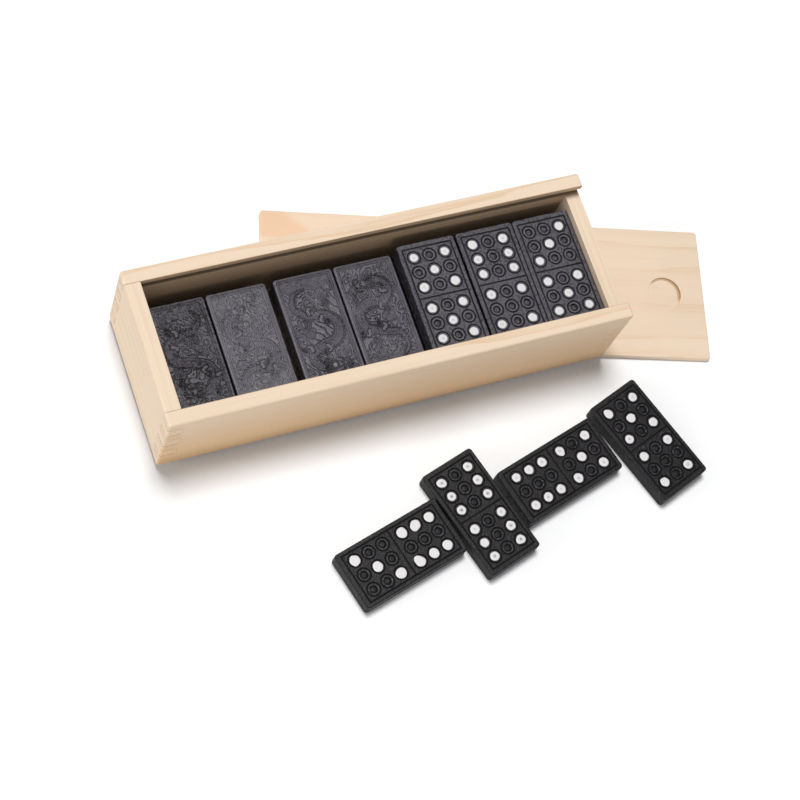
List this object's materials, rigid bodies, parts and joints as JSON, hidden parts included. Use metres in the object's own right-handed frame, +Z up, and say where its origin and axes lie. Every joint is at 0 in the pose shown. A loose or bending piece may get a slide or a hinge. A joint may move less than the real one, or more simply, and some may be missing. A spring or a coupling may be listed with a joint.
{
  "type": "domino storage box",
  "caption": "Comb-jointed pine box with a sliding lid drawn off, holding stacked black dominoes with white pips, and a short line of dominoes in play.",
  "frame": {"origin": "on the table, under the middle of the box's outside rectangle, on the underside of the lid that the box stands on", "axes": "+X along the box towards its low end wall, where the lid slides in; +Y from the front wall to the back wall; +Z up"},
  "size_m": [0.2034, 0.1387, 0.0352],
  "materials": {
    "pine_sides": "fine-sanded untreated pine, straight grain along the wall",
    "pine_ends": "fine-sanded untreated pine, grain across the box",
    "pine_panel": "thin untreated pine board",
    "pine_lid": "fine-sanded untreated pine with a warm heartwood patch at one end",
    "domino_plastic": "moulded black plastic with a fine pebbled grain",
    "pip_paint": "white paint in the pip cups"
  },
  "bodies": {
    "box": {"front_wall": "pine_sides", "back_wall": "pine_sides", "closed_end_wall": "pine_ends", "low_end_wall": "pine_ends", "bottom_panel": "pine_panel"},
    "lid": {"lid": "pine_lid"},
    "domino_0_0": {"domino_0_0": "domino_plastic"},
    "domino_1_1": {"domino_1_1": "domino_plastic"},
    "domino_2_3": {"domino_2_3": "domino_plastic"},
    "domino_0_1": {"domino_0_1": "domino_plastic"},
    "domino_1_2": {"domino_1_2": "domino_plastic"},
    "domino_2_4": {"domino_2_4": "domino_plastic"},
    "domino_0_2": {"domino_0_2": "domino_plastic"},
    "domino_1_3": {"domino_1_3": "domino_plastic"},
    "domino_2_5": {"domino_2_5": "domino_plastic"},
    "domino_0_3": {"domino_0_3": "domino_plastic"},
    "domino_1_4": {"domino_1_4": "domino_plastic"},
    "domino_2_6": {"domino_2_6": "domino_plastic"},
    "domino_0_4": {"domino_0_4": "domino_plastic"},
    "domino_1_5": {"domino_1_5": "domino_plastic"},
    "domino_3_3": {"domino_3_3": "domino_plastic"},
    "domino_5_5": {"domino_5_5": "domino_plastic", "pips_5_5": "pip_paint"},
    "domino_0_5": {"domino_0_5": "domino_plastic"},
    "domino_1_6": {"domino_1_6": "domino_plastic"},
    "domino_3_4": {"domino_3_4": "domino_plastic"},
    "domino_4_6": {"domino_4_6": "domino_plastic", "pips_4_6": "pip_paint"},
    "domino_0_6": {"domino_0_6": "domino_plastic"},
    "domino_2_2": {"domino_2_2": "domino_plastic"},
    "domino_4_4": {"domino_4_4": "domino_plastic"},
    "domino_3_5": {"domino_3_5": "domino_plastic", "pips_3_5": "pip_paint"},
    "domino_3_6": {"domino_3_6": "domino_plastic", "pips_3_6": "pip_paint"},
    "domino_6_6": {"domino_6_6": "domino_plastic", "pips_6_6": "pip_paint"},
    "domino_5_6": {"domino_5_6": "domino_plastic", "pips_5_6": "pip_paint"},
    "domino_4_5": {"domino_4_5": "domino_plastic", "pips_4_5": "pip_paint"}
  },
  "joints": [
    {"name": "lid_slide", "type": "slide", "parent": "box", "child": "lid", "axis": [0.9613, -0.2756, 0], "range_m": [0, 0.1512]},
    {"name": "lift_0_0", "type": "slide", "parent": "box", "child": "domino_0_0", "axis": [0, 0, 1], "range_m": [0, 0.0307]},
    {"name": "lift_1_1", "type": "slide", "parent": "domino_0_0", "child": "domino_1_1", "axis": [0, 0, 1], "range_m": [0, 0.0255]},
    {"name": "lift_2_3", "type": "slide", "parent": "domino_1_1", "child": "domino_2_3", "axis": [0, 0, 1], "range_m": [0, 0.0203]},
    {"name": "lift_0_1", "type": "slide", "parent": "box", "child": "domino_0_1", "axis": [0, 0, 1], "range_m": [0, 0.0307]},
    {"name": "lift_1_2", "type": "slide", "parent": "domino_0_1", "child": "domino_1_2", "axis": [0, 0, 1], "range_m": [0, 0.0255]},
    {"name": "lift_2_4", "type": "slide", "parent": "domino_1_2", "child": "domino_2_4", "axis": [0, 0, 1], "range_m": [0, 0.0203]},
    {"name": "lift_0_2", "type": "slide", "parent": "box", "child": "domino_0_2", "axis": [0, 0, 1], "range_m": [0, 0.0307]},
    {"name": "lift_1_3", "type": "slide", "parent": "domino_0_2", "child": "domino_1_3", "axis": [0, 0, 1], "range_m": [0, 0.0255]},
    {"name": "lift_2_5", "type": "slide", "parent": "domino_1_3", "child": "domino_2_5", "axis": [0, 0, 1], "range_m": [0, 0.0203]},
    {"name": "lift_0_3", "type": "slide", "parent": "box", "child": "domino_0_3", "axis": [0, 0, 1], "range_m": [0, 0.0307]},
    {"name": "lift_1_4", "type": "slide", "parent": "domino_0_3", "child": "domino_1_4", "axis": [0, 0, 1], "range_m": [0, 0.0255]},
    {"name": "lift_2_6", "type": "slide", "parent": "domino_1_4", "child": "domino_2_6", "axis": [0, 0, 1], "range_m": [0, 0.0203]},
    {"name": "lift_0_4", "type": "slide", "parent": "box", "child": "domino_0_4", "axis": [0, 0, 1], "range_m": [0, 0.0307]},
    {"name": "lift_1_5", "type": "slide", "parent": "domino_0_4", "child": "domino_1_5", "axis": [0, 0, 1], "range_m": [0, 0.0255]},
    {"name": "lift_3_3", "type": "slide", "parent": "domino_1_5", "child": "domino_3_3", "axis": [0, 0, 1], "range_m": [0, 0.0203]},
    {"name": "lift_5_5", "type": "slide", "parent": "domino_3_3", "child": "domino_5_5", "axis": [0, 0, 1], "range_m": [0, 0.0151]},
    {"name": "lift_0_5", "type": "slide", "parent": "box", "child": "domino_0_5", "axis": [0, 0, 1], "range_m": [0, 0.0307]},
    {"name": "lift_1_6", "type": "slide", "parent": "domino_0_5", "child": "domino_1_6", "axis": [0, 0, 1], "range_m": [0, 0.0255]},
    {"name": "lift_3_4", "type": "slide", "parent": "domino_1_6", "child": "domino_3_4", "axis": [0, 0, 1], "range_m": [0, 0.0203]},
    {"name": "lift_4_6", "type": "slide", "parent": "domino_3_4", "child": "domino_4_6", "axis": [0, 0, 1], "range_m": [0, 0.0151]},
    {"name": "lift_0_6", "type": "slide", "parent": "box", "child": "domino_0_6", "axis": [0, 0, 1], "range_m": [0, 0.0307]},
    {"name": "lift_2_2", "type": "slide", "parent": "domino_0_6", "child": "domino_2_2", "axis": [0, 0, 1], "range_m": [0, 0.0255]},
    {"name": "lift_4_4", "type": "slide", "parent": "domino_2_2", "child": "domino_4_4", "axis": [0, 0, 1], "range_m": [0, 0.0203]},
    {"name": "lift_3_5", "type": "slide", "parent": "domino_4_4", "child": "domino_3_5", "axis": [0, 0, 1], "range_m": [0, 0.0151]},
    {"name": "lift_3_6", "type": "slide", "parent": "box", "child": "domino_3_6", "axis": [0, 0, 1], "range_m": [0, 0.02]},
    {"name": "lift_6_6", "type": "slide", "parent": "box", "child": "domino_6_6", "axis": [0, 0, 1], "range_m": [0, 0.02]},
    {"name": "lift_5_6", "type": "slide", "parent": "box", "child": "domino_5_6", "axis": [0, 0, 1], "range_m": [0, 0.02]},
    {"name": "lift_4_5", "type": "slide", "parent": "box", "child": "domino_4_5", "axis": [0, 0, 1], "range_m": [0, 0.02]}
  ]
}
